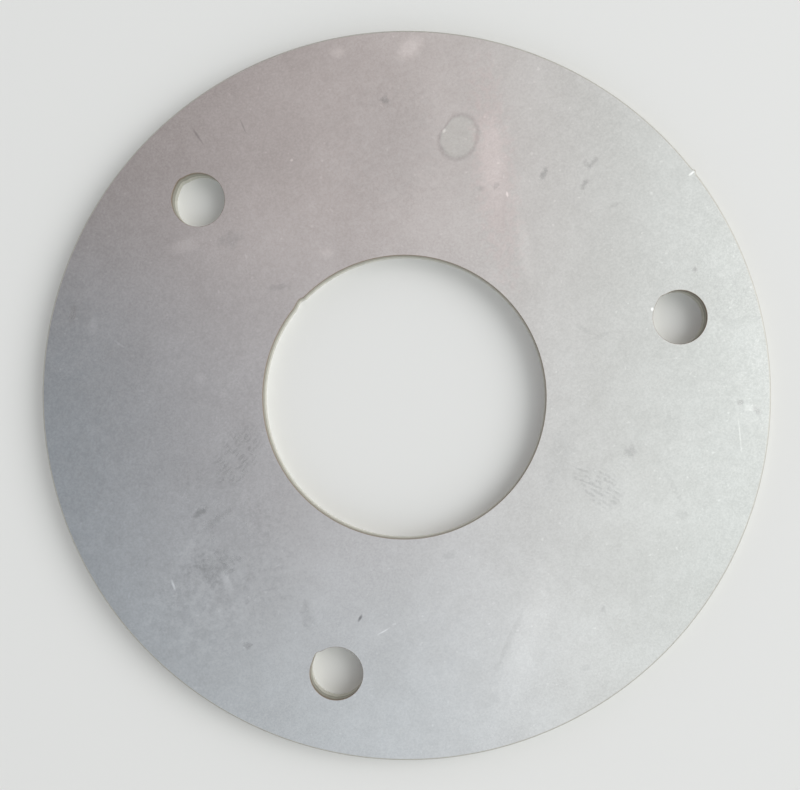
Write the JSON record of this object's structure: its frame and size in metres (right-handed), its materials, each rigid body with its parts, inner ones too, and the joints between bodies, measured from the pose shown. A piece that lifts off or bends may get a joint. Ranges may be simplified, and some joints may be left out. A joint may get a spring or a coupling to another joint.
{
  "type": "flat plate flange",
  "caption": "Thin round flat plate flange of satin stainless sheet, with an open central bore and evenly spaced plain screw holes near the rim.",
  "frame": {"origin": "centre of the bottom face, on the axis of the bore", "axes": "+Z along the bore axis, from the bottom face to the top face; +X through the first screw hole"},
  "size_m": [0.09, 0.09, 0.003],
  "materials": {
    "stainless_sheet": "satin mill finish with faint grain"
  },
  "bodies": {
    "root": {"flange_plate": "stainless_sheet"}
  },
  "joints": []
}
